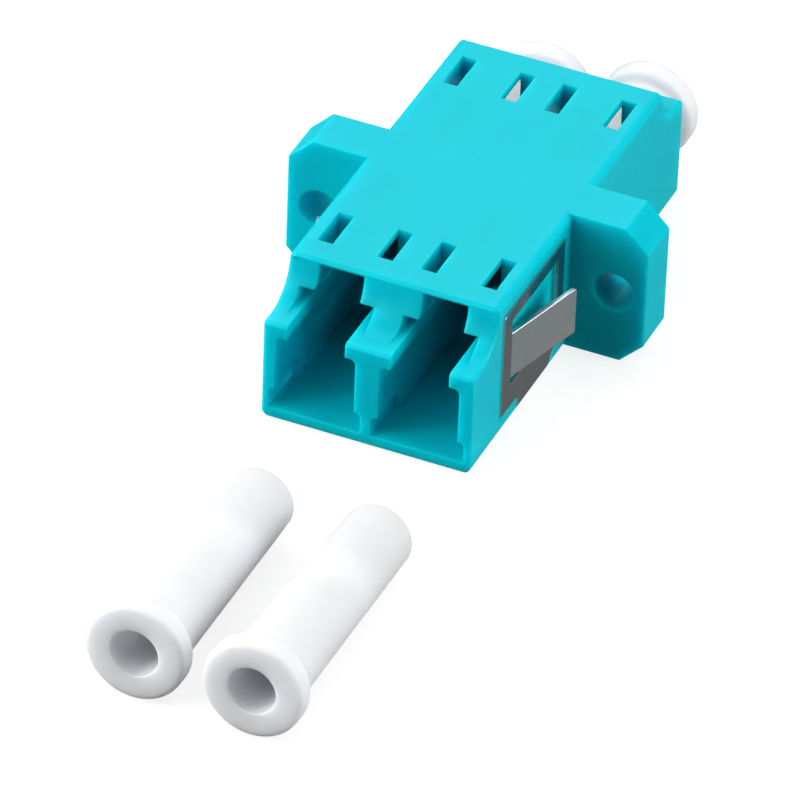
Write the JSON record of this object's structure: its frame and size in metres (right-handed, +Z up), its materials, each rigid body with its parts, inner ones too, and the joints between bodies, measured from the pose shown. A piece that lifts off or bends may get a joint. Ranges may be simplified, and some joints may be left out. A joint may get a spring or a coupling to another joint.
{
  "type": "fibre optic coupler",
  "caption": "Flanged duplex fibre optic coupler with square latching ports at both ends, split alignment sleeves, a folded steel panel clip and push-in dust caps.",
  "frame": {"origin": "on the bottom face of the housing, midway between the two ports, on the mid-plane of the flange where the ferrules meet", "axes": "+X to the right seen from the open front ports, +Y along the optical axis towards the capped rear ports, +Z up"},
  "size_m": [0.022, 0.0602, 0.0091],
  "materials": {
    "housing_plastic": "satin moulded, aqua",
    "spring_steel": "bright rolled sheet",
    "retainer_plastic": "satin moulded, aqua",
    "sleeve_ceramic": "polished zirconia",
    "cap_plastic": "soft white polyethylene"
  },
  "bodies": {
    "adapter": {"housing": "housing_plastic", "spring_clip": "spring_steel", "sleeve_retainer_left": "retainer_plastic", "sleeve_retainer_right": "retainer_plastic", "alignment_sleeve_left": "sleeve_ceramic", "alignment_sleeve_right": "sleeve_ceramic", "dust_cap_loose_left": "cap_plastic", "dust_cap_loose_right": "cap_plastic"},
    "rear_cap_left": {"dust_cap_rear_left": "cap_plastic"},
    "rear_cap_right": {"dust_cap_rear_right": "cap_plastic"}
  },
  "joints": [
    {"name": "rear_cap_left_pull", "type": "slide", "parent": "adapter", "child": "rear_cap_left", "axis": [0, 1, 0], "range_m": [0, 0.016]},
    {"name": "rear_cap_right_pull", "type": "slide", "parent": "adapter", "child": "rear_cap_right", "axis": [0, 1, 0], "range_m": [0, 0.016]}
  ]
}
